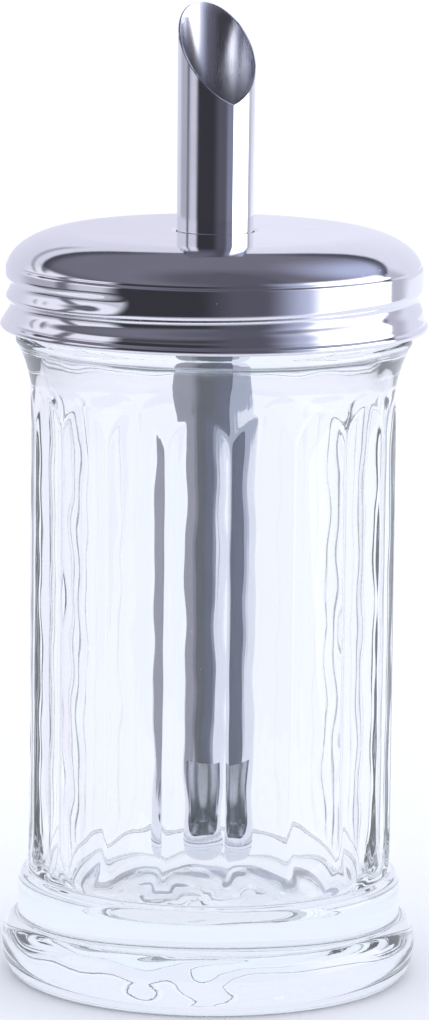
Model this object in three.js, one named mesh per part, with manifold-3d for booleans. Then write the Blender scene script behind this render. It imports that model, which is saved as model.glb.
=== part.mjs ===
// Glass sugar dispenser: a fluted jar, a steel screw lid and a pouring tube with a dosing cup.
// Millimetres, +Z up. The origin is the centre of the jar's base. Azimuth is measured from -Y,
// the side the pouring mouth faces, towards +X, so it grows counter-clockwise seen from above.

import * as THREE from 'three';
import { mergeVertices } from 'three/addons/utils/BufferGeometryUtils.js';
import Module from 'manifold-3d';

// ---------------------------------------------------------------- driving dimensions

// Clearances between pieces.
const SEAT_GAP = 0.3;                // between pieces that rest on or fit into each other
const THREAD_GAP = 0.55;             // radial, jar thread crest to the lid's plain wall

// Jar.
const BODY_R = 32.2;                 // over the ridges between the flutes
const BODY_HEIGHT = 85.8;            // fluted length
const WALL = 3.0;                    // glass under a ridge, at mid height
const WALL_DRAFT = 0.6;              // how far the bore opens from mid height to either end
const FOOT_SPREAD = 4.65;            // foot bead beyond the body
const FOOT_HEIGHT = 10.6;            // base to the notch above the foot bead
const FOOT_CONTACT_INSET = 3.0;      // standing ring's edge inside the foot bead's widest line
const BAND_SPREAD = 1.8;             // plain band beyond the body
const BAND_HEIGHT = 5.6;
const SHOULDER_HEIGHT = 3.0;         // plain band's rounded top, up to the fluted body
const FLOOR_Z = 14.0;                // inside floor
const FLOOR_CORNER_R = 5.0;
const PUNT_R = 27.0;                 // hollow under the base
const PUNT_DEPTH = 1.2;
const FLUTES = 18;
const FLUTE_DEPTH = 0.9;
const FLUTE_END = 9.0;               // length of a flute's round end
const FLUTE_PHASE_DEG = 5.7;         // azimuth of the first ridge
const NECK_SPREAD = 1.8;             // neck beyond the body
const FLARE_HEIGHT = 8.5;            // fluted body to the bead below the lid
const FLARE_CURVE = 1.6;             // 1 would be a straight cone
const BEAD_HEIGHT = 0.9;             // bead beyond the neck
const RIM_WALL = 3.7;                // neck radius to mouth radius
const RIM_ROUND = 1.2;

// Screw thread: a right-handed ridge on the neck, over a rolled-in groove in the lid.
const THREAD_PITCH = 3.6;
const THREAD_HEIGHT = 1.55;          // ridge crest beyond the neck
const THREAD_BASE = 2.4;             // ridge width where it leaves the neck
const THREAD_CREST = 0.7;
const THREAD_START_DEG = -110;
const THREAD_END_DEG = 260;
const THREAD_FADE_DEG = 24;          // run-out at each end of the ridge
const GROOVE_DEPTH = 0.9;
const GROOVE_WIDTH = 4.2;
const GROOVE_START_DEG = -150;
const GROOVE_END_DEG = 339;
const GROOVE_FADE_DEG = 18;

// Lid.
const SHEET = 0.5;                   // steel thickness of every sheet piece
const LID_OVER_BEAD = 2.0;           // lid's lower edge above the bead's centre
const HEM_CURL_R = 0.7;
const GROOVE_OVER_HEM = 3.1;         // lower start of the groove above the curl's centre
const SHOULDER_OVER_GROOVE = 1.3;    // top end of the groove to the widest line of the dome
const DOME_HEIGHT = 7.2;
const DOME_ROUND = 11.95;            // radial width of the dome's rounded shoulder
const RIM_UNDER_DOME = 4.1;          // jar rim to the lid's flat top
const GASKET_THICKNESS = 1.0;
const GASKET_WIDTH = 3.0;

// Pouring tube, its collar and its dosing cup.
const TUBE_R = 6.7;
const MOUTH_FLARE = 0.1;            // how much wider the tube is at its mouth
const MOUTH_LOW_OVER_LID = 22.6;
const MOUTH_RISE = 16.8;             // low point to high point of the slanted mouth
const MOUTH_SEAM_DEG = 25.8;         // azimuth of the butt seam and of the mouth's low point
const MOUTH_POINT = 0.3;             // share of the rise that runs to a point at the seam
const CUP_OVER_FLOOR = 6.0;          // dosing cup above the jar's floor
const CUP_HEIGHT = 3.9;              // outside, up to the end of the tube
const CUP_ROUND = 3.8;
const CUP_SPIGOT = 1.0;              // cup's rim standing up inside the tube
const WINDOW_SILL = 1.3;             // tube wall left under the window
const WINDOW_HEIGHT = 13.4;
const WINDOW_CORNER = 3.5;           // height of the sill's rising corners
const WINDOW_CUT = 2.4;              // how deep the window is cut into the tube's front
const COLLAR_WALL = 1.0;
const COLLAR_HEIGHT = 6.0;
const COLLAR_FLANGE = 4.6;           // flange beyond the tube
const COLLAR_FLANGE_THICKNESS = 0.8;

// Facets.
const JAR_SEGMENTS = 3 * FLUTES;
const LID_SEGMENTS = 60;
const WALL_LEVELS = 12;              // heights at which the lid's wall follows the groove
const TUBE_SEGMENTS = 36;
const RING_SEGMENTS = 48;

// ---------------------------------------------------------------- derived dimensions

const TURN = 360;
const rad = THREE.MathUtils.degToRad;
const helixRise = (deg) => (THREAD_PITCH * deg) / TURN;

const footR = BODY_R + FOOT_SPREAD;
const bandR = BODY_R + BAND_SPREAD;
const bandTopZ = FOOT_HEIGHT + BAND_HEIGHT;
const bodyZ = bandTopZ + SHOULDER_HEIGHT;
const bodyTopZ = bodyZ + BODY_HEIGHT;
const neckR = BODY_R + NECK_SPREAD;
const beadR = neckR + BEAD_HEIGHT;
const beadZ = bodyTopZ + FLARE_HEIGHT;
const boreR = BODY_R - WALL;
const mouthR = neckR - RIM_WALL;
const crestR = neckR + THREAD_HEIGHT;

const lidInnerR = crestR + THREAD_GAP;
const lidR = lidInnerR + SHEET;
const hemZ = beadZ + LID_OVER_BEAD + HEM_CURL_R;
const hemR = lidInnerR + HEM_CURL_R;
const grooveZ = hemZ + GROOVE_OVER_HEM - helixRise(GROOVE_START_DEG);
const domeZ = grooveZ + helixRise(GROOVE_END_DEG) + SHOULDER_OVER_GROOVE;
const lidTopZ = domeZ + DOME_HEIGHT;
const lidUnderZ = lidTopZ - SHEET;
const domeCentreR = lidR - DOME_ROUND;
const rimZ = lidTopZ - RIM_UNDER_DOME;
const threadZ = grooveZ + THREAD_PITCH / 2;

const tubeHoleR = TUBE_R + SEAT_GAP;
const cupBottomZ = FLOOR_Z + CUP_OVER_FLOOR;
const tubeEndZ = cupBottomZ + CUP_HEIGHT + SEAT_GAP;
const windowZ = tubeEndZ + WINDOW_SILL;
const windowTopZ = windowZ + WINDOW_HEIGHT;
const mouthLowZ = lidTopZ + MOUTH_LOW_OVER_LID;

// ---------------------------------------------------------------- geometry helpers

const MERGE_DISTANCE = 1e-4;
const wasm = await Module();
wasm.setup();

// Merges shared vertices and drops the triangles that collapse on the axis.
function closed(geometry) {
  geometry.deleteAttribute('normal');
  geometry.deleteAttribute('uv');
  const merged = mergeVertices(geometry, MERGE_DISTANCE);
  const corners = Array.from(merged.getIndex().array);
  const kept = [];
  for (let i = 0; i < corners.length; i += 3) {
    const [a, b, c] = corners.slice(i, i + 3);
    if (a !== b && b !== c && c !== a) kept.push(a, b, c);
  }
  merged.setIndex(kept);
  return merged;
}

// Turns a profile of [radius, height] points about Z. The optional shape(azimuth, radius, height)
// returns the radius and height that a point really has.
function revolve(profile, segments, { startDeg = 0, shape = null } = {}) {
  const points = profile.map(([r, z]) => new THREE.Vector2(r, z));
  const lathe = new THREE.LatheGeometry(points, segments, rad(startDeg));
  const geometry = closed(lathe.rotateX(Math.PI / 2));
  if (!shape) return geometry;
  const position = geometry.getAttribute('position');
  for (let i = 0; i < position.count; i += 1) {
    const azimuth = Math.atan2(position.getX(i), -position.getY(i));
    const flat = Math.hypot(position.getX(i), position.getY(i));
    const [r, z] = shape(azimuth, flat, position.getZ(i));
    position.setXYZ(i, r * Math.sin(azimuth), -r * Math.cos(azimuth), z);
  }
  return geometry;
}

// Joins a row of sections, each a loop of [azimuth, radius, height] points, into one closed bar.
function sweep(sections) {
  const count = sections[0].length;
  const vertices = sections.flat().flatMap(([a, r, z]) => [r * Math.sin(a), -r * Math.cos(a), z]);
  const corners = [];
  for (let s = 0; s + 1 < sections.length; s += 1) {
    for (let k = 0; k < count; k += 1) {
      const a = s * count + k;
      const b = s * count + ((k + 1) % count);
      corners.push(a, a + count, b, b, a + count, b + count);
    }
  }
  const last = (sections.length - 1) * count;
  for (let k = 1; k + 1 < count; k += 1) {
    corners.push(0, k, k + 1);
    corners.push(last, last + k + 1, last + k);
  }
  const geometry = new THREE.BufferGeometry();
  geometry.setAttribute('position', new THREE.Float32BufferAttribute(vertices, 3));
  geometry.setIndex(corners);
  return geometry;
}

function toManifold(geometry) {
  const vertProperties = new Float32Array(geometry.getAttribute('position').array);
  const triVerts = new Uint32Array(geometry.getIndex().array);
  return new wasm.Manifold(new wasm.Mesh({ numProp: 3, vertProperties, triVerts }));
}

function toGeometry(manifold) {
  const mesh = manifold.getMesh();
  const geometry = new THREE.BufferGeometry();
  geometry.setAttribute('position', new THREE.BufferAttribute(mesh.vertProperties, 3));
  geometry.setIndex(new THREE.BufferAttribute(mesh.triVerts, 1));
  return geometry;
}

// Points of an elliptical arc in the profile plane, without its first point.
function arc([centreR, centreZ], [radiusR, radiusZ], fromDeg, toDeg, steps) {
  const points = [];
  for (let i = 1; i <= steps; i += 1) {
    const t = rad(fromDeg + ((toDeg - fromDeg) * i) / steps);
    points.push([centreR + radiusR * Math.cos(t), centreZ + radiusZ * Math.sin(t)]);
  }
  return points;
}

// 0 to 1 over the first and last fadeDeg of a run of thread.
function runOut(deg, startDeg, endDeg, fadeDeg) {
  const edge = Math.min(deg - startDeg, endDeg - deg) / fadeDeg;
  return THREE.MathUtils.smoothstep(edge, 0, 1);
}

function named(name, geometry, material) {
  const mesh = new THREE.Mesh(geometry, material);
  mesh.name = name;
  geometry.computeVertexNormals();
  return mesh;
}

// ---------------------------------------------------------------- materials

const glass = new THREE.MeshStandardMaterial({
  color: 0xdfeee9, roughness: 0.04, metalness: 0, transparent: true, opacity: 0.35,
});
const polishedSteel = new THREE.MeshStandardMaterial({ color: 0xc9cad2, roughness: 0.08, metalness: 1 });
const tubeSteel = new THREE.MeshStandardMaterial({ color: 0xc4c5cd, roughness: 0.12, metalness: 1 });
const sealWhite = new THREE.MeshStandardMaterial({ color: 0xe9e7e0, roughness: 0.7, metalness: 0 });

// ---------------------------------------------------------------- jar

// How far a flute cuts in at this azimuth and height. Each flute is a shallow trough with
// round ends that stop where the fluted body does.
function fluteDepth(azimuth, z) {
  const step = TURN / FLUTES;
  const fromRidge = (((azimuth / rad(1) - FLUTE_PHASE_DEG) % step) + step) % step;
  const across = (2 * fromRidge) / step - 1;
  const past = Math.max(bodyZ + FLUTE_END - z, z - (bodyTopZ - FLUTE_END), 0) / FLUTE_END;
  return FLUTE_DEPTH * Math.max(0, 1 - across * across - past * past);
}

function jarProfile() {
  const contactR = footR - FOOT_CONTACT_INSET;
  const footMidZ = 0.56 * FOOT_HEIGHT;
  const floorBend = boreR - FLOOR_CORNER_R;
  const flare = [0.3, 0.6, 0.85].map((t) => [
    BODY_R + (beadR - BODY_R) * t ** FLARE_CURVE,
    bodyTopZ + FLARE_HEIGHT * t,
  ]);
  return [
    [0, PUNT_DEPTH],
    [PUNT_R / 2, PUNT_DEPTH],
    [PUNT_R, 0],
    [contactR, 0],
    ...arc([contactR, footMidZ], [FOOT_CONTACT_INSET, footMidZ], -90, 0, 4),
    ...arc([bandR, footMidZ], [footR - bandR, FOOT_HEIGHT - footMidZ], 0, 90, 4),
    [bandR, bandTopZ],
    ...arc([BODY_R, bandTopZ], [BAND_SPREAD, SHOULDER_HEIGHT], 0, 90, 3),
    [BODY_R, bodyZ + FLUTE_END * 0.2],
    [BODY_R, bodyZ + FLUTE_END * 0.55],
    [BODY_R, bodyZ + FLUTE_END],
    [BODY_R, bodyTopZ - FLUTE_END],
    [BODY_R, bodyTopZ - FLUTE_END * 0.55],
    [BODY_R, bodyTopZ - FLUTE_END * 0.2],
    [BODY_R, bodyTopZ],
    ...flare,
    [beadR, beadZ - BEAD_HEIGHT / 2],
    [beadR, beadZ + BEAD_HEIGHT / 2],
    [neckR, beadZ + BEAD_HEIGHT * 1.5],
    [neckR, rimZ - RIM_ROUND],
    ...arc([neckR - RIM_ROUND, rimZ - RIM_ROUND], [RIM_ROUND, RIM_ROUND], 0, 90, 3),
    ...arc([mouthR + RIM_ROUND / 2, rimZ - RIM_ROUND / 2], [RIM_ROUND / 2, RIM_ROUND / 2], 90, 180, 2),
    [boreR, bodyZ + BODY_HEIGHT / 2],
    [boreR - WALL_DRAFT, FLOOR_Z + FLOOR_CORNER_R],
    ...arc([floorBend - WALL_DRAFT, FLOOR_Z + FLOOR_CORNER_R], [FLOOR_CORNER_R, FLOOR_CORNER_R], 0, -90, 4),
    [0, FLOOR_Z],
  ];
}

// The ridge on the neck, its base sunk into the glass and its ends run out into it.
function threadRidge() {
  const sink = 0.4;
  const stepDeg = 10;
  const sections = [];
  for (let deg = THREAD_START_DEG; deg <= THREAD_END_DEG; deg += stepDeg) {
    const full = runOut(deg, THREAD_START_DEG, THREAD_END_DEG, THREAD_FADE_DEG);
    const top = neckR - sink / 2 + (THREAD_HEIGHT + sink / 2) * full;
    const z = threadZ + helixRise(deg);
    sections.push([
      [rad(deg), neckR - sink, z - THREAD_BASE / 2],
      [rad(deg), top, z - THREAD_CREST / 2],
      [rad(deg), top, z + THREAD_CREST / 2],
      [rad(deg), neckR - sink, z + THREAD_BASE / 2],
    ]);
  }
  return sweep(sections);
}

function glassJar() {
  const shape = (azimuth, r, z) => {
    const outside = r > boreR + WALL_DRAFT && z >= bodyZ && z <= bodyTopZ;
    return [outside ? r - fluteDepth(azimuth, z) : r, z];
  };
  const jar = revolve(jarProfile(), JAR_SEGMENTS, { startDeg: FLUTE_PHASE_DEG, shape });
  return named('glass_jar', toGeometry(toManifold(jar).add(toManifold(threadRidge()))), glass);
}

// ---------------------------------------------------------------- lid

// How far the rolled groove pushes the sheet in at this azimuth and height.
function grooveDepth(azimuth, z) {
  let depth = 0;
  for (const turn of [-1, 0, 1]) {
    const deg = azimuth / rad(1) + turn * TURN;
    if (deg <= GROOVE_START_DEG || deg >= GROOVE_END_DEG) continue;
    const off = Math.abs(z - grooveZ - helixRise(deg)) / GROOVE_WIDTH;
    if (off >= 0.5) continue;
    const full = runOut(deg, GROOVE_START_DEG, GROOVE_END_DEG, GROOVE_FADE_DEG);
    depth += GROOVE_DEPTH * full * Math.cos(Math.PI * off) ** 2;
  }
  return Math.min(depth, GROOVE_DEPTH);
}

function screwLid() {
  const skirtZ = hemZ + 2 * HEM_CURL_R;
  const wallZ = Array.from({ length: WALL_LEVELS + 1 }, (_, i) => (
    skirtZ + ((domeZ - skirtZ) * i) / WALL_LEVELS
  ));
  const profile = [
    [tubeHoleR, lidUnderZ],
    [domeCentreR, lidUnderZ],
    ...arc([domeCentreR, domeZ], [DOME_ROUND - SHEET, DOME_HEIGHT - SHEET], 90, 0, 5),
    ...wallZ.slice(0, -1).reverse().map((z) => [lidInnerR, z]),
    [lidInnerR, hemZ],
    ...arc([hemR, hemZ], [HEM_CURL_R, HEM_CURL_R], 180, 420, 8),
    ...wallZ.map((z) => [lidR, z]),
    ...arc([domeCentreR, domeZ], [DOME_ROUND, DOME_HEIGHT], 0, 90, 6),
    [tubeHoleR, lidTopZ],
    [tubeHoleR, lidUnderZ],
  ];
  const shape = (azimuth, r, z) => {
    const onWall = r > lidInnerR - SHEET && z >= skirtZ;
    return [onWall ? r - grooveDepth(azimuth, z) : r, z];
  };
  return named('screw_lid', revolve(profile, LID_SEGMENTS, { shape }), polishedSteel);
}

// The ring lies on the jar's rim and reaches to the inside of the lid's rounded shoulder.
function lidGasket() {
  const z = rimZ + SEAT_GAP;
  const top = z + GASKET_THICKNESS;
  const rise = (top - domeZ) / (DOME_HEIGHT - SHEET);
  const outerR = domeCentreR + (DOME_ROUND - SHEET) * Math.sqrt(1 - rise * rise) - 2 * SEAT_GAP;
  const innerR = outerR - GASKET_WIDTH;
  const profile = [[innerR, z], [outerR, z], [outerR, top], [innerR, top], [innerR, z]];
  return named('lid_gasket', revolve(profile, RING_SEGMENTS), sealWhite);
}

// ---------------------------------------------------------------- pouring tube

// Height of the slanted mouth at an angle from the seam: a round slant that comes to a point.
function mouthHeight(fromSeam) {
  const pointed = 2 * Math.abs(Math.sin(fromSeam / 2)) - 1;
  const slant = MOUTH_POINT * pointed - (1 - MOUTH_POINT) * Math.cos(fromSeam);
  return mouthLowZ + (MOUTH_RISE * (1 + slant)) / 2;
}

function pouringTube() {
  const topR = TUBE_R + MOUTH_FLARE;
  const markZ = mouthLowZ + MOUTH_RISE;
  const profile = [
    [TUBE_R - SHEET, tubeEndZ],
    [TUBE_R, tubeEndZ],
    [TUBE_R, lidTopZ],
    [topR, markZ],
    [topR - SHEET, markZ],
    [TUBE_R - SHEET, lidTopZ],
    [TUBE_R - SHEET, tubeEndZ],
  ];
  const seam = rad(MOUTH_SEAM_DEG);
  const shape = (azimuth, r, z) => [r, z > lidTopZ + 1 ? mouthHeight(azimuth - seam) : z];
  const tube = revolve(profile, TUBE_SEGMENTS, { startDeg: MOUTH_SEAM_DEG, shape });
  return named('pouring_tube', toGeometry(toManifold(tube).subtract(windowCutter())), tubeSteel);
}

// The opening that lets sugar into the tube, cut across its front, with rising sill corners.
function windowCutter() {
  const front = -2 * TUBE_R;
  const back = -TUBE_R + WINDOW_CUT;
  const lip = -TUBE_R + 0.25 * WINDOW_CUT;
  const side = new THREE.Shape([
    new THREE.Vector2(front, windowZ),
    new THREE.Vector2(lip, windowZ),
    new THREE.Vector2(back, windowZ + WINDOW_CORNER),
    new THREE.Vector2(back, windowTopZ),
    new THREE.Vector2(front, windowTopZ),
  ]);
  const block = new THREE.ExtrudeGeometry(side, { depth: 4 * TUBE_R, bevelEnabled: false });
  block.translate(0, 0, -2 * TUBE_R);
  block.applyMatrix4(new THREE.Matrix4().makeBasis(
    new THREE.Vector3(0, 1, 0),
    new THREE.Vector3(0, 0, 1),
    new THREE.Vector3(1, 0, 0),
  ));
  return toManifold(closed(block));
}

function dosingCup() {
  const rimR = TUBE_R - SHEET - SEAT_GAP;
  const rimTopZ = tubeEndZ + CUP_SPIGOT;
  const shelfZ = tubeEndZ - SEAT_GAP;
  const innerRound = Math.min(CUP_ROUND, rimR - SHEET) - SHEET;
  const profile = [
    [0, cupBottomZ],
    [TUBE_R - CUP_ROUND, cupBottomZ],
    ...arc([TUBE_R - CUP_ROUND, cupBottomZ + CUP_ROUND], [CUP_ROUND, CUP_ROUND], -90, 0, 5),
    [TUBE_R, shelfZ],
    [rimR, shelfZ],
    [rimR, rimTopZ],
    [rimR - SHEET, rimTopZ],
    [rimR - SHEET, cupBottomZ + SHEET + innerRound],
    ...arc([rimR - SHEET - innerRound, cupBottomZ + SHEET + innerRound], [innerRound, innerRound], 0, -90, 4),
    [0, cupBottomZ + SHEET],
  ];
  return named('dosing_cup', revolve(profile, TUBE_SEGMENTS), tubeSteel);
}

// Holds the tube under the lid: a sleeve on the tube with a flange against the lid's underside.
function tubeCollar() {
  const innerR = tubeHoleR;
  const sleeveR = innerR + COLLAR_WALL;
  const flangeR = innerR + COLLAR_FLANGE;
  const topZ = lidUnderZ - SEAT_GAP;
  const shelfZ = topZ - COLLAR_FLANGE_THICKNESS;
  const lowZ = topZ - COLLAR_HEIGHT;
  const profile = [
    [innerR, lowZ],
    [sleeveR, lowZ],
    [sleeveR, shelfZ],
    [flangeR, shelfZ],
    [flangeR, topZ],
    [innerR, topZ],
    [innerR, lowZ],
  ];
  return named('tube_collar', revolve(profile, TUBE_SEGMENTS), tubeSteel);
}

// ---------------------------------------------------------------- assembly

const group = new THREE.Group();
group.add(glassJar(), screwLid(), lidGasket(), tubeCollar(), pouringTube(), dosingCup());

export default group;
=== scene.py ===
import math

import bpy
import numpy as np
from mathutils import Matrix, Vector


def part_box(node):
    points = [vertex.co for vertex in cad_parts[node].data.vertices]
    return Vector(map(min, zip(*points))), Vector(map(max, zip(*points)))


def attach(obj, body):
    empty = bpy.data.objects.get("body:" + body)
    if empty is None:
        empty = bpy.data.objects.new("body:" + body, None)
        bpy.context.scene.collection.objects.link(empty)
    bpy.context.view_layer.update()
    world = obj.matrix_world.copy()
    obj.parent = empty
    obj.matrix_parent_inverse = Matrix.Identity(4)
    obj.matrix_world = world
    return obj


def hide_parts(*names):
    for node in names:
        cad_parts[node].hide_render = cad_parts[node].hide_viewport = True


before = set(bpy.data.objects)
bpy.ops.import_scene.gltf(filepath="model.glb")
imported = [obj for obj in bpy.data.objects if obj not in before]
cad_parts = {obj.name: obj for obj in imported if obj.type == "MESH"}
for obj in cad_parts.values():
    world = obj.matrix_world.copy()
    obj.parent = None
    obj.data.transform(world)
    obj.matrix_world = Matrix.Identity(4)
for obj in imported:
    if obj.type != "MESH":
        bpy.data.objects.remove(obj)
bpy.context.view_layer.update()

# Glass sugar dispenser: fluted jar, polished steel screw lid, pouring tube with a dosing cup.
# Shapes are worked out in millimetres in the frame of the CAD model and scaled to metres when a
# mesh is made. Azimuth is measured from -Y, the camera's side, towards +X.

MM = 0.001
TAU = 2 * math.pi


# ------------------------------------------------------------------ camera

CAMERA_DISTANCE = 1.0020
CAMERA_HEIGHT = 0.2509
CAMERA_PITCH_DEG = 9.51
CAMERA_ROLL_DEG = 0.58
CAMERA_SENSOR = 36.0
CAMERA_LENS = 203.4
CAMERA_SHIFT = 0.00216


def add_camera():
    data = bpy.data.cameras.new("camera")
    data.sensor_width = CAMERA_SENSOR
    data.lens = CAMERA_LENS
    data.shift_x = CAMERA_SHIFT
    camera = bpy.data.objects.new("camera", data)
    camera.location = (0, -CAMERA_DISTANCE, CAMERA_HEIGHT)
    camera.rotation_mode = "XYZ"
    camera.rotation_euler = (math.radians(90 - CAMERA_PITCH_DEG), 0, 0)
    camera.rotation_euler.rotate_axis("Z", math.radians(CAMERA_ROLL_DEG))
    bpy.context.scene.collection.objects.link(camera)
    bpy.context.scene.camera = camera


add_camera()


# ------------------------------------------------------------------ sizes from the frame, in mm

def box_mm(node):
    low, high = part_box(node)
    return np.array(low) / MM, np.array(high) / MM


JAR_LOW, JAR_HIGH = box_mm("glass_jar")
LID_LOW, LID_HIGH = box_mm("screw_lid")
TUBE_LOW, TUBE_HIGH = box_mm("pouring_tube")
CUP_LOW, CUP_HIGH = box_mm("dosing_cup")
GASKET_LOW, GASKET_HIGH = box_mm("lid_gasket")
COLLAR_LOW, COLLAR_HIGH = box_mm("tube_collar")

# Jar.
FOOT_R = (JAR_HIGH[0] - JAR_LOW[0]) / 2 - 0.05
FOOT_CONTACT_INSET = 3.0
PUNT_DEPTH = 1.2
BODY_R = FOOT_R - 4.6
BAND_R = BODY_R + 1.8
NECK_R = BODY_R + 1.8
BEAD_R = NECK_R + 0.85
FOOT_H = 10.6
BAND_TOP = 16.2
FLUTE_LOW = 19.2
FLUTE_TOP = 105.0
BEAD_Z = 113.5
FLARE_CURVE = 1.6
RIM_Z = JAR_HIGH[2]
BORE_R = BODY_R - 3.05
MOUTH_R = NECK_R - 3.7
FLOOR_Z = 14.05
FLOOR_CORNER_R = 6.0
WALL_DRAFT = 0.6
FLUTES = 18
FLUTE_DEPTH = 0.95
FLUTE_END = 9.0
RIDGE_ROUND = 0.05
RIDGE_AZ = math.radians(5.7)

# Thread: pitch and the groove's centre height at azimuth 0.
PITCH = 3.6
HEM_Z = LID_LOW[2] + 0.7
GROOVE_Z = HEM_Z + 4.6
GROOVE_START, GROOVE_END = math.radians(-150), math.radians(339)
GROOVE_DEPTH, GROOVE_SAG, GROOVE_UPPER, GROOVE_LOWER = 0.82, 0.3, 1.75, 2.5
RIDGE_START, RIDGE_END = math.radians(-110), math.radians(260)
RIDGE_HEIGHT = 1.5
RIDGE_HALF_WIDTH, RIDGE_FLANK = 1.15, 0.8
GROOVE_FADE, RIDGE_FADE = math.radians(16), math.radians(24)

# Lid.
SHEET = 0.5
LID_TOP = LID_HIGH[2]
HEM_R = LID_HIGH[0]
CURL_R = 0.7
WALL_R = HEM_R - 0.9
DOME_H = 7.2
DOME_Z = LID_TOP - DOME_H
DOME_ROUND = 11.95

# Tube.
TUBE_R = (CUP_HIGH[0] - CUP_LOW[0]) / 2
HOLE_R = TUBE_R + 0.16
TUBE_TOP = TUBE_HIGH[2]
TUBE_END = TUBE_LOW[2]
MOUTH_RISE = 16.8
MOUTH_FLARE = 0.1
MOUTH_CURL = 0.3
SEAM_AZ = math.radians(25.8)
SEAM_FLAT = math.radians(7)
SEAM_SLIT = 0.0035
WINDOW_LOW = TUBE_END + 1.3
WINDOW_TOP = WINDOW_LOW + 13.4
WINDOW_DEPTH, WINDOW_LIP, WINDOW_CORNER = 2.4, 0.5, 3.5
CUP_ROUND = 3.8
GASKET_WIDTH, GASKET_ROUND = 3.0, 0.25


# ------------------------------------------------------------------ mesh helpers

def new_object(name, vertices, faces, smooth=True):
    mesh = bpy.data.meshes.new(name)
    mesh.from_pydata([tuple(v) for v in np.asarray(vertices) * MM], [], faces)
    mesh.validate()
    mesh.update()
    if smooth:
        mesh.polygons.foreach_set("use_smooth", [True] * len(mesh.polygons))
    piece = bpy.data.objects.new(name, mesh)
    bpy.context.scene.collection.objects.link(piece)
    return piece


def smoothstep(x):
    t = np.clip(x, 0, 1)
    return t * t * (3 - 2 * t)


def arc(centre, radii, start_deg, end_deg, steps):
    """Points of an elliptical arc in the (radius, height) plane, both ends included."""
    t = np.radians(np.linspace(start_deg, end_deg, steps + 1))
    return [(centre[0] + radii[0] * math.cos(a), centre[1] + radii[1] * math.sin(a)) for a in t]


def line(start, end, steps):
    """Points between start and end, both ends left out."""
    return [tuple(np.add(start, np.subtract(end, start) * i / steps)) for i in range(1, steps)]


def revolve(name, profile, segments, shape=None, ring=False, start=0.0, sweep=TAU):
    """Turns a profile about Z. shape(azimuth, radius, height, index) moves whole rows of points.
    A ring's profile closes on itself; any other starts and ends on the axis. A sweep under a full
    turn leaves a slit with flat ends, as a rolled sheet has."""
    whole = sweep >= TAU - 1e-9
    count = segments if whole else segments + 1
    azimuth = start + sweep * np.arange(count) / segments
    rows = []
    for index, (r, z) in enumerate(profile):
        radius, height = np.full(count, float(r)), np.full(count, float(z))
        if shape is not None:
            radius, height = shape(azimuth, radius, height, index)
        rows.append(np.column_stack([radius * np.sin(azimuth), -radius * np.cos(azimuth), height]))
    on_axis = [abs(r) < 1e-9 for r, _ in profile]
    vertices, first = [], []
    for row, axis in zip(rows, on_axis):
        first.append(len(vertices))
        vertices.extend(row[:1] if axis else row)
    faces = []
    steps = count if whole else segments
    for i in range(len(profile) if ring else len(profile) - 1):
        k = (i + 1) % len(profile)
        for j in range(steps):
            n = (j + 1) % count
            low = [first[i]] if on_axis[i] else [first[i] + j, first[i] + n]
            high = [first[k]] if on_axis[k] else [first[k] + n, first[k] + j]
            faces.append(tuple(low + high))
    if not whole:
        faces.append(tuple(first))
        faces.append(tuple(f + count - 1 for f in reversed(first)))
    return new_object(name, vertices, faces)


def turns_of(azimuth, start, end):
    """The same azimuth counted on each turn of a helix that runs from start to end."""
    base = np.mod(azimuth - start, TAU) + start
    for turn in range(int((end - start) / TAU) + 1):
        yield base + turn * TAU


def run_out(angle, start, end, fade):
    """0 at both ends of a helix and 1 from a fade's length inside them."""
    return smoothstep(np.minimum(angle - start, end - angle) / fade)


# ------------------------------------------------------------------ node helpers

class Nodes:
    """Short ways to add and link the nodes of one material."""

    def __init__(self, tree):
        self.tree = tree
        tree.nodes.clear()

    def add(self, kind, inputs=None, **settings):
        node = self.tree.nodes.new(kind)
        for key, value in settings.items():
            setattr(node, key, value)
        for key, value in (inputs or {}).items():
            self.put(value, node.inputs[key])
        return node

    def put(self, value, socket):
        if isinstance(value, bpy.types.NodeSocket):
            self.tree.links.new(value, socket)
        else:
            socket.default_value = value

    def math(self, operation, a, b=0.0, c=0.0):
        node = self.add("ShaderNodeMath", operation=operation)
        for value, socket in zip((a, b, c), node.inputs):
            self.put(value, socket)
        return node.outputs[0]

    def ramp(self, value, low, high, out_low=0.0, out_high=1.0, smooth=True):
        kind = "SMOOTHSTEP" if smooth else "LINEAR"
        names = ("Value", "From Min", "From Max", "To Min", "To Max")
        values = (value, low, high, out_low, out_high)
        return self.add("ShaderNodeMapRange", dict(zip(names, values)), interpolation_type=kind).outputs[0]

    def mix(self, factor, a, b):
        node = self.add("ShaderNodeMix", data_type="RGBA")
        self.put(factor, node.inputs[0])
        self.put(a, node.inputs[6])
        self.put(b, node.inputs[7])
        return node.outputs[2]

    def place(self, scale):
        coordinates = self.add("ShaderNodeTexCoord").outputs["Object"]
        return self.add("ShaderNodeMapping", {"Vector": coordinates, "Scale": scale}).outputs[0]

    def noise(self, vector, scale, detail=3.0, roughness=0.5):
        inputs = {"Vector": vector, "Scale": scale, "Detail": detail, "Roughness": roughness}
        return self.add("ShaderNodeTexNoise", inputs).outputs["Fac"]

    def bump(self, height, strength, distance, normal=None):
        inputs = {"Height": height, "Strength": strength, "Distance": distance}
        if normal is not None:
            inputs["Normal"] = normal
        return self.add("ShaderNodeBump", inputs).outputs[0]


def material(name):
    made = bpy.data.materials.new(name)
    made.use_nodes = True
    return made, Nodes(made.node_tree)


def rgb(r, g, b):
    return (r, g, b, 1.0)


# ------------------------------------------------------------------ materials

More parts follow.
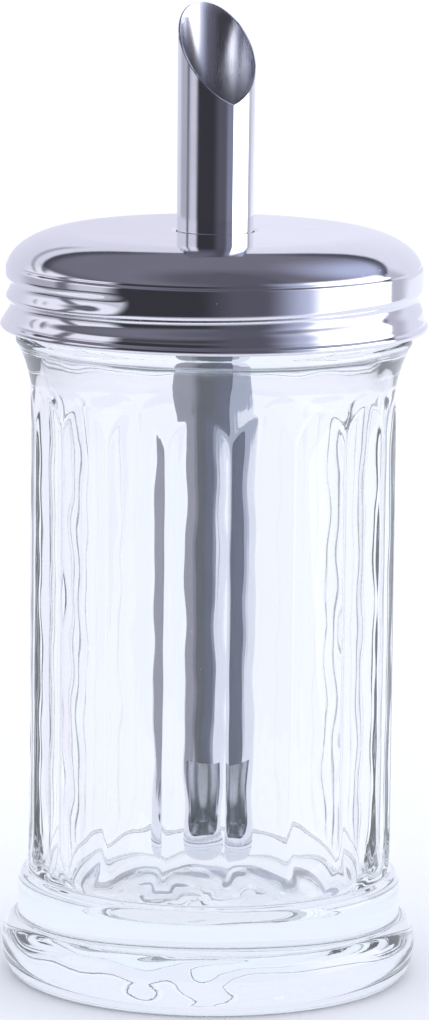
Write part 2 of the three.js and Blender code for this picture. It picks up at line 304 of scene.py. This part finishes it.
def glass_material():
    """Clear glass with a faint green cast where it is thick and a slightly wavy surface. A faint
    light of its own lifts the darkest lines."""
    made, n = material("pressed_glass")
    wave = n.noise(n.place((1, 1, 0.45)), 160.0, 2.0)
    ripple = n.noise(n.place((1, 1, 1)), 700.0, 2.0)
    normal = n.bump(ripple, 0.03, 0.0001, n.bump(wave, 0.045, 0.0004))
    tint = n.mix(n.noise(n.place((1, 1, 1)), 40.0), rgb(0.99, 0.99, 0.99), rgb(0.985, 0.99, 0.99))
    shader = n.add("ShaderNodeBsdfPrincipled", {
        "Base Color": tint, "Roughness": 0.0, "IOR": 1.45,
        "Transmission Weight": 1.0, "Normal": normal,
        "Emission Color": rgb(0.84, 0.94, 1.0), "Emission Strength": 0.025,
    })
    body = n.add("ShaderNodeVolumeAbsorption", {"Color": rgb(0.72, 0.92, 0.92), "Density": 3.0})
    out = n.add("ShaderNodeOutputMaterial")
    n.put(shader.outputs[0], out.inputs["Surface"])
    n.put(body.outputs[0], out.inputs["Volume"])
    return made


def steel_material(name, color, roughness, grain, grain_strength, bore=0.0):
    """Polished steel with fine rolling lines, soft haze, and a few dust specks. Inside the bore
    radius, given in metres, the sheet is rougher."""
    made, n = material(name)
    haze = n.noise(n.place((1, 1, 1)), 55.0, 4.0, 0.6)
    lines = n.noise(n.place(grain), 1.0, 3.0, 0.6)
    dots = n.add("ShaderNodeTexVoronoi", {"Vector": n.place((1, 1, 1)), "Scale": 520.0}).outputs["Distance"]
    patch = n.noise(n.place((1, 1, 1)), 95.0, 2.0)
    speck = n.math("MULTIPLY", n.ramp(dots, 0.13, 0.06), n.ramp(patch, 0.60, 0.68))
    rough = n.ramp(haze, 0.3, 0.75, roughness * 0.6, roughness * 1.7)
    rough = n.math("ADD", rough, n.ramp(lines, 0.35, 0.75, 0.0, roughness * 0.5))
    rough = n.math("ADD", rough, n.math("MULTIPLY", speck, 0.35))
    if bore:
        x, y = n.add("ShaderNodeSeparateXYZ", {"Vector": n.place((1, 1, 1))}).outputs[:2]
        squares = n.math("ADD", n.math("POWER", x, 2.0), n.math("POWER", y, 2.0))
        radius = n.math("SQRT", squares)
        inside = n.ramp(radius, bore - 0.0001, bore + 0.0001, 1.0, 0.0)
        rough = n.math("ADD", rough, n.math("MULTIPLY", inside, 0.16))
    tone = n.mix(n.ramp(haze, 0.35, 0.7), rgb(*color), rgb(*[c * 0.95 for c in color]))
    tone = n.mix(n.math("MULTIPLY", speck, 0.5), tone, rgb(0.95, 0.95, 0.97))
    normal = n.bump(lines, grain_strength, 0.00004, n.bump(haze, 0.06, 0.0004))
    shader = n.add("ShaderNodeBsdfPrincipled", {
        "Base Color": tone, "Metallic": 1.0, "Roughness": rough, "Normal": normal,
    })
    out = n.add("ShaderNodeOutputMaterial")
    n.put(shader.outputs[0], out.inputs["Surface"])
    return made


def seal_material():
    """Matt white foam liner."""
    made, n = material("seal_foam")
    cells = n.noise(n.place((1, 1, 1)), 1800.0, 3.0)
    stain = n.noise(n.place((1, 1, 1)), 120.0, 2.0)
    tone = n.mix(n.ramp(stain, 0.35, 0.7), rgb(0.86, 0.85, 0.81), rgb(0.78, 0.77, 0.73))
    shader = n.add("ShaderNodeBsdfPrincipled", {
        "Base Color": tone, "Roughness": n.ramp(cells, 0.3, 0.7, 0.55, 0.8),
        "Normal": n.bump(cells, 0.3, 0.0001),
    })
    out = n.add("ShaderNodeOutputMaterial")
    n.put(shader.outputs[0], out.inputs["Surface"])
    return made


def floor_material():
    made, n = material("pale_floor")
    mottle = n.noise(n.place((1, 1, 1)), 30.0, 2.0)
    tone = n.mix(n.ramp(mottle, 0.3, 0.7), rgb(0.90, 0.90, 0.91), rgb(0.89, 0.89, 0.90))
    shader = n.add("ShaderNodeBsdfPrincipled", {
        "Base Color": tone, "Roughness": 0.9, "Specular IOR Level": 0.0,
    })
    # Stands in for the light that clear glass gathers on what it stands on.
    gathered = n.add("ShaderNodeEmission", {"Color": rgb(0.86, 0.89, 1.0)})
    through = n.add("ShaderNodeLightPath").outputs["Is Transmission Ray"]
    mixed = n.add("ShaderNodeMixShader", {
        0: n.math("MULTIPLY", through, 0.85), 1: shader.outputs[0], 2: gathered.outputs[0],
    })
    out = n.add("ShaderNodeOutputMaterial")
    n.put(mixed.outputs[0], out.inputs["Surface"])
    return made


# ------------------------------------------------------------------ jar

def flute_depth(azimuth, z):
    """How deep the flutes are here: a round hollow between ridges, with round ends."""
    step = TAU / FLUTES
    across = 2 * np.mod(azimuth - RIDGE_AZ, step) / step - 1
    past = np.maximum(np.maximum(FLUTE_LOW + FLUTE_END - z, z - (FLUTE_TOP - FLUTE_END)), 0) / FLUTE_END
    bowl = np.maximum(0, 1 - across ** 2 - past ** 2)
    return FLUTE_DEPTH * (np.sqrt(bowl ** 2 + RIDGE_ROUND ** 2) - RIDGE_ROUND * (1 - bowl))


def thread_height(azimuth, z):
    """How far the neck's thread stands out at this azimuth and height."""
    height = np.zeros_like(azimuth)
    for angle in turns_of(azimuth, RIDGE_START, RIDGE_END):
        off = np.abs(z - (GROOVE_Z + PITCH / 2 + PITCH * angle / TAU))
        full = run_out(angle, RIDGE_START, RIDGE_END, RIDGE_FADE)
        inside = (angle > RIDGE_START) & (angle < RIDGE_END)
        flank = smoothstep((RIDGE_HALF_WIDTH - off) / RIDGE_FLANK)
        height = np.maximum(height, np.where(inside, full * flank, 0))
    return RIDGE_HEIGHT * height


def jar_outside():
    """Outline from the middle of the base up to the rim."""
    contact = FOOT_R - FOOT_CONTACT_INSET
    mid = 0.56 * FOOT_H
    points = [(0.0, PUNT_DEPTH), *line((0, PUNT_DEPTH), (20, PUNT_DEPTH - 0.05), 12)]
    points += arc((20, -0.6), (8, PUNT_DEPTH + 0.55), 90, 20, 10)
    points += [(contact - 3.0, 0.0), (contact, 0.0)]
    points += arc((contact, mid), (FOOT_CONTACT_INSET, mid), -84, 0, 14)
    points += arc((BAND_R, mid), (FOOT_R - BAND_R, FOOT_H - mid), 6, 84, 12)
    points += arc((BAND_R + 0.35, FOOT_H + 0.2), (0.35, 0.35), 250, 180, 4)
    points += line((BAND_R, FOOT_H + 0.6), (BAND_R, BAND_TOP), 4) + [(BAND_R, BAND_TOP)]
    points += arc((BODY_R + 0.1, BAND_TOP), (BAND_R - BODY_R - 0.1, FLUTE_LOW - BAND_TOP - 0.4), 8, 80, 9)
    points += [(BODY_R, FLUTE_LOW - 0.1)]
    levels = np.concatenate([
        np.linspace(FLUTE_LOW, FLUTE_LOW + FLUTE_END, 22),
        np.linspace(FLUTE_LOW + FLUTE_END, FLUTE_TOP - FLUTE_END, 36)[1:-1],
        np.linspace(FLUTE_TOP - FLUTE_END, FLUTE_TOP, 22),
    ])
    points += [(BODY_R, z) for z in levels]
    for t in np.linspace(0.08, 0.9, 14):
        points.append((BODY_R + (BEAD_R - BODY_R) * t ** FLARE_CURVE, FLUTE_TOP + (BEAD_Z - FLUTE_TOP) * t))
    points += arc((BEAD_R - 0.6, BEAD_Z), (0.6, 0.75), -50, 80, 9)
    points += [(NECK_R + 0.05, BEAD_Z + 1.0), (NECK_R, BEAD_Z + 1.4)]
    points += [(NECK_R, z) for z in np.arange(BEAD_Z + 1.7, RIM_Z - 1.3, 0.22)]
    points += arc((NECK_R - 1.2, RIM_Z - 1.2), (1.2, 1.2), 0, 90, 8)
    points += arc((MOUTH_R + 0.8, RIM_Z - 0.8), (0.8, 0.8), 90, 180, 6)
    return points


def jar_inside():
    """Outline from the rim down to the middle of the floor."""
    corner = FLOOR_CORNER_R
    low_r = BORE_R - WALL_DRAFT
    points = [(MOUTH_R, RIM_Z - 0.8 - d) for d in (0.6, 1.6, 3.0, 5.0, 8.0)]
    points += line((MOUTH_R, RIM_Z - 9), (BORE_R, 100.0), 10)
    points += line((BORE_R, 100.0), (low_r, FLOOR_Z + corner), 50)
    points += arc((low_r - corner, FLOOR_Z + corner), (corner, corner), 0, -88, 12)
    points += line((low_r - corner, FLOOR_Z), (0, FLOOR_Z + 0.35), 14)
    return points + [(0.0, FLOOR_Z + 0.35)]


def glass_jar():
    """The pressed jar. Its inside and its base are slightly uneven, as the plunger leaves them."""
    outside = jar_outside()
    profile = outside + jar_inside()

    def shape(azimuth, radius, height, index):
        z = height[0]
        if index < len(outside):
            if FLUTE_LOW <= z <= FLUTE_TOP:
                radius = radius - flute_depth(azimuth, height)
            if z > BEAD_Z + 1.2:
                radius = radius + thread_height(azimuth, height)
            if z < 2.0 and radius[0] < 26:
                sway = np.sin(3 * azimuth + 0.35 * radius) + np.sin(5 * azimuth - 0.6 * radius)
                height = height + 0.12 * sway * smoothstep(radius / 8)
            return radius, height
        reach = smoothstep((z - FLOOR_Z) / 10)
        sway = (0.06 * np.sin(9 * azimuth + 0.22 * z) + 0.045 * np.sin(14 * azimuth - 0.35 * z + 1.3)
                + 0.05 * np.sin(5 * azimuth - 0.11 * z) + 0.02 * np.sin(23 * azimuth + 0.6 * z))
        radius = radius + sway * np.where(radius > 20, 1, 0) * (0.4 + 0.6 * reach)
        lift = 0.12 * np.sin(4 * azimuth + 0.3 * radius) * smoothstep(radius / 10) * (1 - reach)
        return radius, height + (lift if z < FLOOR_Z + 3 else 0)

    jar = revolve("jar_glass", profile, FLUTES * 20, shape, start=RIDGE_AZ)
    jar.data.materials.append(glass_material())
    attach(jar, "jar")
    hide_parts("glass_jar")


# ------------------------------------------------------------------ lid

def groove_depth(azimuth, z):
    """The rolled-in thread groove: a steep upper flank and a gentle lower one."""
    depth = np.zeros_like(azimuth)
    for angle in turns_of(azimuth, GROOVE_START, GROOVE_END):
        above = z - (GROOVE_Z - GROOVE_SAG + PITCH * angle / TAU)
        reach = np.where(above > 0, GROOVE_UPPER, GROOVE_LOWER)
        full = run_out(angle, GROOVE_START, GROOVE_END, GROOVE_FADE)
        inside = (angle > GROOVE_START) & (angle < GROOVE_END)
        wave = np.cos(np.pi / 2 * np.minimum(np.abs(above) / reach, 1)) ** 2
        depth = np.maximum(depth, np.where(inside, full * wave, 0))
    return GROOVE_DEPTH * depth


def screw_lid():
    """One stamping: flat top, round shoulder, a crease under it, grooved wall and curled hem."""
    shoulder_deg = 15
    flat = WALL_R - DOME_ROUND
    outer_dome = arc((flat, DOME_Z), (DOME_ROUND, DOME_H), shoulder_deg, 90, 40)
    inner_dome = arc((flat, DOME_Z), (DOME_ROUND - SHEET, DOME_H - SHEET), 90, shoulder_deg, 30)
    crease = [(WALL_R - 0.34, DOME_Z + 1.70), (WALL_R - 0.36, DOME_Z + 1.55), (WALL_R - 0.30, DOME_Z + 1.38),
              (WALL_R - 0.14, DOME_Z + 1.22), (WALL_R - 0.03, DOME_Z + 1.05), (WALL_R, DOME_Z + 0.8)]
    wall = np.arange(HEM_Z + 1.3, DOME_Z + 0.6, 0.16)
    profile = [(HOLE_R + 0.25, LID_TOP - SHEET), *line((HOLE_R, LID_TOP - SHEET), (flat, LID_TOP - SHEET), 5)]
    profile += inner_dome
    profile += [(WALL_R - SHEET, z) for z in wall[::-1]]
    profile += arc((HEM_R - CURL_R, HEM_Z), (CURL_R, CURL_R), 180, 412, 24)
    profile += [(HEM_R - 0.46, HEM_Z + 0.66), (HEM_R - 0.50, HEM_Z + 0.78), (HEM_R - 0.47, HEM_Z + 0.9)]
    profile += [(WALL_R + 0.42 * math.exp(-(z - HEM_Z - 1.0) / 0.8), z) for z in wall]
    profile += crease[::-1]
    profile += outer_dome
    profile += line((flat, LID_TOP), (HOLE_R + 1.2, LID_TOP), 12)
    profile += arc((HOLE_R + 0.9, LID_TOP - 0.22), (0.9, 0.22), 90, 180, 6)

    def shape(azimuth, radius, height, index):
        on_wall = (radius[0] > WALL_R - 2 * SHEET) and (wall[0] - 0.01 <= height[0] <= DOME_Z + 2.2)
        return (radius - groove_depth(azimuth, height) if on_wall else radius), height

    lid = revolve("lid_shell", profile, 540, shape, ring=True)
    lid.data.materials.append(
        steel_material("polished_steel", (0.80, 0.80, 0.845), 0.05, (6000, 6000, 60000), 0.02))
    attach(lid, "lid")
    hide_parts("screw_lid")


# ------------------------------------------------------------------ tube and cup

def peaked(azimuth):
    """The sheet's ends stay flat beside the butt seam, so the tube comes to a slight peak there."""
    from_seam = np.abs(np.mod(azimuth - SEAM_AZ + math.pi, TAU) - math.pi)
    return 1 / np.cos(np.maximum(SEAM_FLAT - from_seam, 0))


def mouth_height(azimuth):
    """Lowest at the seam. The curl's share turns the straight slant into a pointed one there."""
    half = (azimuth - SEAM_AZ) / 2
    slant = MOUTH_CURL * (2 * np.abs(np.sin(half)) - 1) - (1 - MOUTH_CURL) * np.cos(2 * half)
    return TUBE_TOP - MOUTH_RISE / 2 + MOUTH_RISE / 2 * slant


def window_cutter():
    """A block whose side view is the window, with a rounded sill that rises at its corners."""
    front, back = -2 * TUBE_R, -TUBE_R + WINDOW_DEPTH
    lip = -TUBE_R + WINDOW_LIP
    outline = [(front, WINDOW_LOW), (lip, WINDOW_LOW)]
    outline += [(lip + (back - lip) * math.sin(t), WINDOW_LOW + WINDOW_CORNER * (1 - math.cos(t)))
                for t in np.radians(np.linspace(10, 90, 12))]
    outline += [(back, WINDOW_TOP), (front, WINDOW_TOP)]
    count = len(outline)
    vertices = [(x, y, z) for x in (-2 * TUBE_R, 2 * TUBE_R) for y, z in outline]
    faces = [tuple(range(count - 1, -1, -1)), tuple(range(count, 2 * count))]
    faces += [(k, (k + 1) % count, (k + 1) % count + count, k + count) for k in range(count)]
    return new_object("window_cutter", vertices, faces, smooth=False)


def cut(piece, cutter):
    """Takes the cutter's volume out of the piece. The cutter's faces have to look outwards."""
    modifier = piece.modifiers.new("cut", "BOOLEAN")
    modifier.operation = "DIFFERENCE"
    modifier.solver = "EXACT"
    modifier.object = cutter
    graph = bpy.context.evaluated_depsgraph_get()
    mesh = bpy.data.meshes.new_from_object(piece.evaluated_get(graph))
    piece.modifiers.clear()
    piece.data = mesh
    bpy.data.objects.remove(cutter)


def pouring_tube(steel):
    """Rolled sheet with a butt seam, a slanted mouth with rounded edges and a window."""
    edge = 0.12
    outer = [(TUBE_R, z) for z in np.linspace(TUBE_END, LID_TOP, 60)]
    outer += [(TUBE_R + MOUTH_FLARE * t, LID_TOP + t) for t in np.linspace(0, 1, 24)[1:]]
    inner = [(r - SHEET, z) for r, z in reversed(outer)]
    outer_rim = (outer[-1][0], outer[-1][1] - 0.006)
    inner_rim = (inner[0][0], inner[0][1] - 0.006)
    profile = [*outer[:-1], outer_rim, outer[-1], inner[0], inner_rim, *inner[1:]]
    outer_corner, inner_corner = len(outer), len(outer) + 1

    def shape(azimuth, radius, height, index):
        z = height[0]
        radius = radius * peaked(azimuth)
        if LID_TOP < z <= LID_TOP + 1:
            height = LID_TOP + (z - LID_TOP) * (mouth_height(azimuth) - LID_TOP)
        if index == outer_corner:
            radius = radius - edge
        if index == inner_corner:
            radius = radius + edge
        return radius, height

    tube = revolve("spout_tube", profile, 240, shape, ring=True,
                   start=SEAM_AZ + SEAM_SLIT, sweep=TAU - 2 * SEAM_SLIT)
    cut(tube, window_cutter())
    tube.data.polygons.foreach_set("use_smooth", [True] * len(tube.data.polygons))
    tube.data.set_sharp_from_angle(angle=math.radians(35))
    tube.data.materials.clear()
    tube.data.materials.append(steel)
    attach(tube, "lid")
    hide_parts("pouring_tube")


def dosing_cup(steel):
    """Pressed cup with a round edge. Its narrower rim stands up inside the tube."""
    low, rim = CUP_LOW[2], CUP_HIGH[2]
    shelf = TUBE_END - 0.12
    corner = CUP_ROUND
    rim_r = TUBE_R - SHEET - 0.1
    inner = corner - SHEET
    profile = [(0.0, low + 0.1), *line((0, low + 0.1), (TUBE_R - corner, low), 5)]
    profile += arc((TUBE_R - corner, low + corner), (corner, corner), -90, 0, 24)
    profile += [(TUBE_R, shelf - 0.08), (TUBE_R - 0.08, shelf), (rim_r, shelf), (rim_r, rim - 0.08)]
    profile += [(rim_r - 0.08, rim), (rim_r - SHEET + 0.08, rim), (rim_r - SHEET, rim - 0.08)]
    profile += arc((rim_r - SHEET - inner, low + SHEET + inner), (inner, inner), 0, -90, 18)
    profile += [(0.0, low + SHEET + 0.1)]
    cup = revolve("dose_cup", profile, 180)
    cup.data.set_sharp_from_angle(angle=math.radians(40))
    cup.data.materials.append(steel)
    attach(cup, "lid")
    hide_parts("dosing_cup")


def tube_collar(steel):
    """Sleeve with a flange that holds the tube under the lid."""
    low, top = COLLAR_LOW[2], COLLAR_HIGH[2]
    flange = COLLAR_HIGH[0]
    inner, sleeve = TUBE_R + 0.2, TUBE_R + 1.3
    profile = [(inner, low), (sleeve - 0.2, low), (sleeve, low + 0.2)]
    profile += [(sleeve, top - 1.6), *arc((sleeve + 0.8, top - 1.6), (0.8, 0.8), 180, 90, 6)]
    profile += [(flange - 0.3, top - 0.8), (flange, top - 0.5), (flange, top - 0.15), (flange - 0.15, top)]
    profile += [(inner, top)]
    collar = revolve("collar_ring", profile, 120, ring=True)
    collar.data.set_sharp_from_angle(angle=math.radians(50))
    collar.data.materials.append(steel)
    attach(collar, "collar")
    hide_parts("tube_collar")


def lid_gasket():
    """Flat ring with rounded edges."""
    low, top, outer = GASKET_LOW[2], GASKET_HIGH[2], GASKET_HIGH[0]
    inner = outer - GASKET_WIDTH
    bead = GASKET_ROUND
    profile = arc((outer - bead, low + bead), (bead, bead), -90, 0, 4)
    profile += arc((outer - bead, top - bead), (bead, bead), 0, 90, 4)
    profile += arc((inner + bead, top - bead), (bead, bead), 90, 180, 4)
    profile += arc((inner + bead, low + bead), (bead, bead), 180, 270, 4)
    gasket = revolve("gasket_ring", profile, 180, ring=True)
    gasket.data.materials.append(seal_material())
    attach(gasket, "gasket")
    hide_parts("lid_gasket")


# ------------------------------------------------------------------ floor and light

def add_floor():
    """A pale sheet that ends a little in front of the object, so the steel mirrors the dim room."""
    left, right, front, back = -0.14, 0.75, -0.12, 2.9
    vertices = [(left, front, 0), (right, front, 0), (right, back, 0), (left, back, 0)]
    floor = new_object("floor", np.array(vertices) / MM, [(0, 1, 2, 3)], smooth=False)
    floor.data.materials.append(floor_material())


def add_world():
    """Studio surroundings by direction, in degrees: a pale card behind, a soft box on the right, a
    dim room in front and above. Matt surfaces get an even white dome, rays through glass get a
    paler room, and the backdrop itself is white."""
    world = bpy.data.worlds.new("studio")
    bpy.context.scene.world = world
    world.use_nodes = True
    n = Nodes(world.node_tree)
    direction = n.add("ShaderNodeTexCoord").outputs["Generated"]
    parts = n.add("ShaderNodeSeparateXYZ", {"Vector": direction}).outputs
    backwards = n.math("MULTIPLY", parts[1], -1.0)
    degrees = 180 / math.pi
    azimuth = n.math("MULTIPLY", n.math("ARCTAN2", parts[0], backwards), degrees)
    height = n.math("MULTIPLY", n.math("ARCSINE", parts[2]), degrees)
    turned = n.math("ABSOLUTE", azimuth)

    def both(a, b):
        return n.math("MULTIPLY", a, b)

    def between(value, low, high, soft_low, soft_high):
        """1 from low to high, with an edge of its own width at each."""
        rise = n.ramp(value, low - soft_low / 2, low + soft_low / 2)
        fall = n.ramp(value, high - soft_high / 2, high + soft_high / 2, 1.0, 0.0)
        return both(rise, fall)

    def towards(azimuth_deg, height_deg, inner, outer):
        """1 within inner degrees of a direction, 0 beyond outer degrees."""
        a, h = math.radians(azimuth_deg), math.radians(height_deg)
        axis = (math.cos(h) * math.sin(a), -math.cos(h) * math.cos(a), math.sin(h))
        dot = n.add("ShaderNodeVectorMath", {0: direction, 1: axis}, operation="DOT_PRODUCT").outputs["Value"]
        angle = n.math("MULTIPLY", n.math("ARCCOSINE", dot), degrees)
        return n.ramp(angle, inner, outer, 1.0, 0.0)

    def over(factor, colour, r, g, b):
        return n.mix(factor, colour, rgb(r, g, b))

    # Room: dark in front, slate above, grey below the horizon, a cool glow high on the right.
    colour = n.mix(n.ramp(height, 12, 44), rgb(0.046, 0.045, 0.056), rgb(0.205, 0.200, 0.255))
    colour = over(between(azimuth, 2, 50, 24, 14), colour, 0.115, 0.112, 0.150)
    colour = over(towards(5, 66, 12, 40), colour, 0.125, 0.125, 0.165)
    colour = over(towards(118, 42, 4, 34), colour, 0.56, 0.61, 0.85)
    colour = over(n.ramp(height, -13, -48), colour, 0.58, 0.58, 0.66)
    # Card on the left, brighter towards its top, with a dim gap beside it.
    left = both(between(azimuth, -190, -58, 1, 12), n.ramp(height, 25, 31, 1.0, 0.0))
    left = both(left, n.ramp(height, -16, -9))
    pale = n.mix(n.ramp(height, -4, 14), rgb(0.50, 0.50, 0.59), rgb(1.0, 1.0, 1.12))
    foot = both(between(azimuth, -82, -62, 9, 8), n.ramp(height, -4, 6, 1.0, 0.0))
    pale = over(foot, pale, 0.70, 0.70, 0.80)
    colour = n.mix(left, colour, pale)
    colour = over(both(left, between(azimuth, -97, -88, 6, 6)), colour, 0.20, 0.20, 0.25)
    # Backdrop card: its upper edge is an arch, with a dark gap above it.
    drop = n.math("POWER", n.ramp(turned, 165, 110, smooth=False), 2.0)
    above = n.math("SUBTRACT", height, n.math("SUBTRACT", 36.0, n.math("MULTIPLY", drop, 18.0)))
    gap = both(between(above, -1, 5, 2, 8), between(turned, 116, 172, 10, 8))
    colour = over(both(gap, 0.8), colour, 0.05, 0.05, 0.07)
    below = n.ramp(above, -2.0, 0.5, 1.0, 0.0)
    colour = over(both(between(azimuth, 112, 140, 4, 1), below), colour, 0.58, 0.58, 0.68)
    colour = over(both(n.ramp(azimuth, 122, 136), below), colour, 0.88, 0.89, 1.02)
    colour = over(both(n.ramp(azimuth, -118, -140), below), colour, 0.80, 0.80, 0.93)
    band = both(between(n.math("ADD", above, 8.0), -1.5, 1.5, 2, 2), between(azimuth, -168, -122, 8, 8))
    colour = over(both(band, 0.6), colour, 0.20, 0.20, 0.25)
    # Soft box on the right, with a cool spill on its left.
    tilt = n.math("ADD", height, n.math("MULTIPLY", turned, 0.25))
    tall = both(n.ramp(tilt, 50, 60, 1.0, 0.0), n.ramp(height, -50, -40))
    colour = over(both(between(azimuth, 42, 114, 30, 3), tall), colour, 0.62, 0.67, 0.90)
    colour = over(both(between(azimuth, 62, 113, 20, 3), tall), colour, 2.6, 2.6, 2.75)

    # What glass passes on: a pale room, greener overhead and in front.
    dim = n.math("MAXIMUM", n.ramp(height, 35, 75), both(n.ramp(turned, 60, 30), 0.8))
    clear = n.mix(dim, rgb(0.84, 0.84, 0.97), rgb(0.44, 0.59, 0.64))
    rays = n.add("ShaderNodeLightPath").outputs
    colour = n.mix(rays["Is Transmission Ray"], colour, clear)
    # What was mirrored once and passed four glass surfaces, as the tube does: a plainer room.
    evened = n.mix(n.ramp(azimuth, -78, -42), rgb(0.27, 0.26, 0.32), rgb(0.022, 0.018, 0.036))
    evened = over(n.ramp(azimuth, -12, 14), evened, 0.040, 0.045, 0.100)
    evened = over(n.ramp(azimuth, 38, 52), evened, 0.36, 0.39, 0.52)
    once = n.math("COMPARE", rays["Glossy Depth"], 1.0, 0.5)
    colour = n.mix(both(once, n.math("COMPARE", rays["Transmission Depth"], 4.0, 0.5)), colour, evened)
    colour = over(rays["Is Diffuse Ray"], colour, 1.12, 1.16, 1.29)
    colour = over(rays["Is Camera Ray"], colour, 1.0, 1.0, 1.0)
    background = n.add("ShaderNodeBackground", {"Color": colour, "Strength": 1.0})
    out = n.add("ShaderNodeOutputWorld")
    n.put(background.outputs[0], out.inputs["Surface"])


bpy.context.scene.view_settings.view_transform = "Standard"

glass_jar()
screw_lid()
TUBE_STEEL = steel_material("rolled_steel", (0.80, 0.805, 0.85), 0.08, (5200, 5200, 40), 0.12,
                            bore=(TUBE_R - SHEET / 2) * MM)
pouring_tube(TUBE_STEEL)
dosing_cup(TUBE_STEEL)
tube_collar(TUBE_STEEL)
lid_gasket()
add_floor()
add_world()
